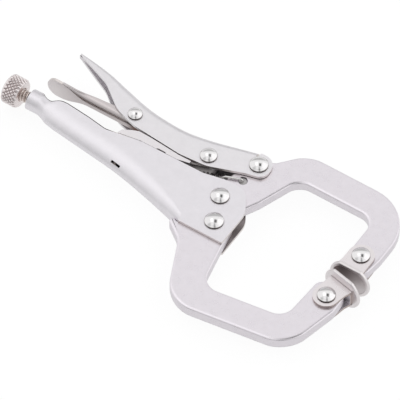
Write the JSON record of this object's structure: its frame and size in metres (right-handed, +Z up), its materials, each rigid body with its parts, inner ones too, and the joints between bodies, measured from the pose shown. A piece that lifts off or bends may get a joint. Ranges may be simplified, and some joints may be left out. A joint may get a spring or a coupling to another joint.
{
  "type": "locking c clamp",
  "caption": "Locking C clamp with over-centre toggle handles, a knurled adjusting screw, a release lever and swivel pads on its arms.",
  "frame": {"origin": "under the middle of the clamp's box, on the surface that the clamp lies on", "axes": "+X along the adjusting screw towards the jaws, +Y from the handle towards the lever, +Z up through the plates"},
  "size_m": [0.1614, 0.0826, 0.0144],
  "materials": {
    "satin_nickel": "satin nickel plate",
    "warm_nickel": "warm nickel plate",
    "polished_rivet": "polished",
    "spring_wire": "drawn spring wire"
  },
  "bodies": {
    "handle": {"fixed_handle": "satin_nickel", "fixed_jaw": "satin_nickel", "jaw_pivot_rivet": "polished_rivet", "fixed_jaw_rivet": "polished_rivet", "fixed_pad_rivet": "polished_rivet", "return_spring": "spring_wire"},
    "jaw": {"movable_jaw": "satin_nickel", "lever_rivet": "polished_rivet", "movable_pad_rivet": "polished_rivet"},
    "lever": {"lever_handle": "satin_nickel", "link_rivet": "polished_rivet", "release_rivet": "polished_rivet"},
    "link": {"toggle_link": "satin_nickel"},
    "release": {"release_lever": "warm_nickel"},
    "screw": {"adjusting_screw": "warm_nickel"},
    "knob": {"adjusting_knob": "warm_nickel"},
    "upper_pad": {"movable_pad_saddle": "satin_nickel", "movable_pad_foot": "satin_nickel"},
    "lower_pad": {"fixed_pad_saddle": "satin_nickel", "fixed_pad_foot": "satin_nickel"}
  },
  "joints": [
    {"name": "jaw_swing", "type": "hinge", "parent": "handle", "child": "jaw", "pos_m": [0.0139, 0.00648, 0.0072], "axis": [0, 0, 1], "range_deg": [0, 18], "deforming": ["return_spring"]},
    {"name": "lever_swing", "type": "hinge", "parent": "jaw", "child": "lever", "pos_m": [0.0179, 0.02623, 0.0072], "axis": [0, 0, 1], "range_deg": [-52.71, 0]},
    {"name": "link_turn", "type": "hinge", "parent": "lever", "child": "link", "pos_m": [0.00028, 0.01968, 0.0072], "axis": [0, 0, 1], "range_deg": [0, 56.03]},
    {"name": "release_press", "type": "hinge", "parent": "lever", "child": "release", "pos_m": [-0.0327, 0.02088, 0.0072], "axis": [0, 0, -1], "range_deg": [0, 8]},
    {"name": "screw_feed", "type": "slide", "parent": "handle", "child": "screw", "axis": [-1, 0, 0], "range_m": [0, 0.012]},
    {"name": "knob_turn", "type": "hinge", "parent": "screw", "child": "knob", "pos_m": [-0.0761, 0.00818, 0.0072], "axis": [-1, 0, 0], "range_deg": [0, 5401]},
    {"name": "upper_pad_swivel", "type": "hinge", "parent": "jaw", "child": "upper_pad", "pos_m": [0.0715, 0.01198, 0.0072], "axis": [0, 0, 1], "range_deg": [-10, 8]},
    {"name": "lower_pad_swivel", "type": "hinge", "parent": "handle", "child": "lower_pad", "pos_m": [0.0707, -0.00992, 0.0072], "axis": [0, 0, 1], "range_deg": [-8, 10]}
  ],
  "couplings": [
    {"joint": "lever_swing", "follows": "jaw_swing", "ratio": -2.928},
    {"joint": "link_turn", "follows": "jaw_swing", "ratio": 3.112},
    {"joint": "knob_turn", "follows": "screw_feed", "rad_per_m": 7854}
  ]
}
